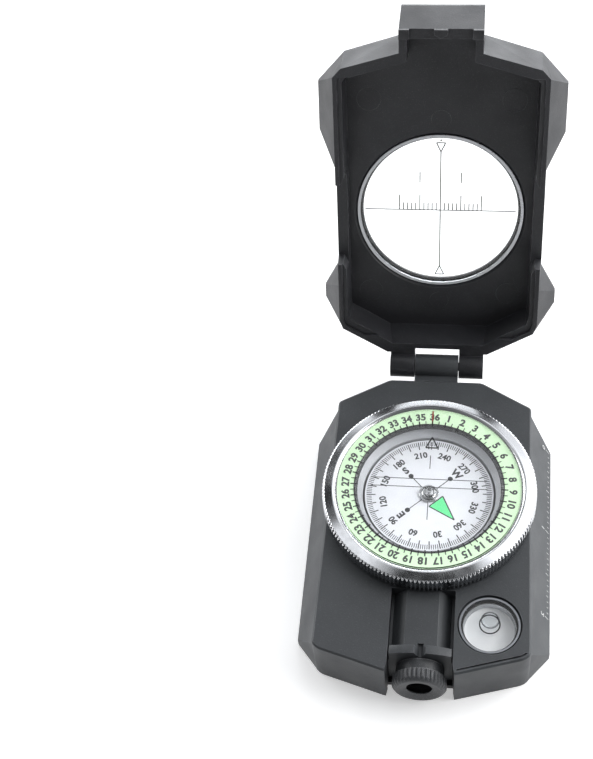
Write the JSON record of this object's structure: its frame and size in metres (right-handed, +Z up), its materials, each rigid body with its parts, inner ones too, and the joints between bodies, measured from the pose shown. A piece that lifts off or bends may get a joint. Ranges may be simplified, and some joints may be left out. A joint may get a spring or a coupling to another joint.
{
  "type": "sighting compass",
  "caption": "Hand-held sighting compass with a hinged lid and reticle window, turning numbered bezel, floating card, bull's-eye level and focusing eyepiece.",
  "frame": {"origin": "mouth of the tripod bush, on the bezel's axis in the plane of the underside", "axes": "+Z up out of the deck, +Y towards the hinge, +X to the right of a user at the eyepiece"},
  "size_m": [0.065, 0.1446, 0.1059],
  "materials": {
    "deck_paint": "matte powder coat",
    "lid_paint": "matte powder coat",
    "black_plastic": "matte",
    "bezel_metal": "satin, turned",
    "luminous": "printed luminous",
    "crystal": "clear",
    "card_white": "printed",
    "steel": "satin",
    "brass": "machined",
    "seal_rubber": "matte",
    "level_white": "milky",
    "jewel": "polished",
    "magnet": "plated"
  },
  "bodies": {
    "base": {"base_housing": "deck_paint", "bottom_cover": "deck_paint", "cover_screws": "steel", "tripod_bush": "brass", "hinge_pin": "steel", "capsule_cup": "black_plastic", "capsule_screws": "steel", "pivot_post": "brass", "crystal_seal": "seal_rubber", "index_crystal": "crystal", "bezel_retaining_ring": "steel", "sight_block": "lid_paint", "sight_block_screws": "steel", "prism": "crystal", "level_cup": "steel", "level_disc": "level_white", "level_glass": "crystal", "level_seal": "seal_rubber"},
    "lid": {"lid_shell": "lid_paint", "window_glass": "crystal", "window_seal": "seal_rubber", "window_retaining_ring": "bezel_metal"},
    "bezel": {"bezel_ring": "bezel_metal", "azimuth_ring": "luminous"},
    "card": {"compass_card": "card_white", "card_hub": "steel", "jewel_bearing": "jewel", "card_magnet": "magnet"},
    "focus_knob": {"focus_ring": "lid_paint"},
    "lens_carrier": {"lens_tube": "black_plastic", "eyepiece_lens": "crystal", "lens_retaining_ring": "black_plastic"}
  },
  "joints": [
    {"name": "lid_hinge", "type": "hinge", "parent": "base", "child": "lid", "pos_m": [0, 0.0431, 0.0152], "axis": [-1, 0, 0], "range_deg": [-112.5, 67.5]},
    {"name": "bezel_turn", "type": "hinge", "parent": "base", "child": "bezel", "pos_m": [0, 0, 0.0186], "axis": [0, 0, 1], "continuous": true},
    {"name": "card_turn", "type": "hinge", "parent": "base", "child": "card", "pos_m": [0, 0, 0.0166], "axis": [0, 0, 1], "continuous": true},
    {"name": "focus_turn", "type": "hinge", "parent": "base", "child": "focus_knob", "pos_m": [0, -0.05, 0.0084], "axis": [0, -1, 0], "range_deg": [-120.5, 120.5]},
    {"name": "focus_travel", "type": "slide", "parent": "base", "child": "lens_carrier", "axis": [0, -1, 0], "range_m": [-0.0005, 0.0005]}
  ],
  "couplings": [
    {"joint": "focus_turn", "follows": "focus_travel", "rad_per_m": 4188.8}
  ]
}
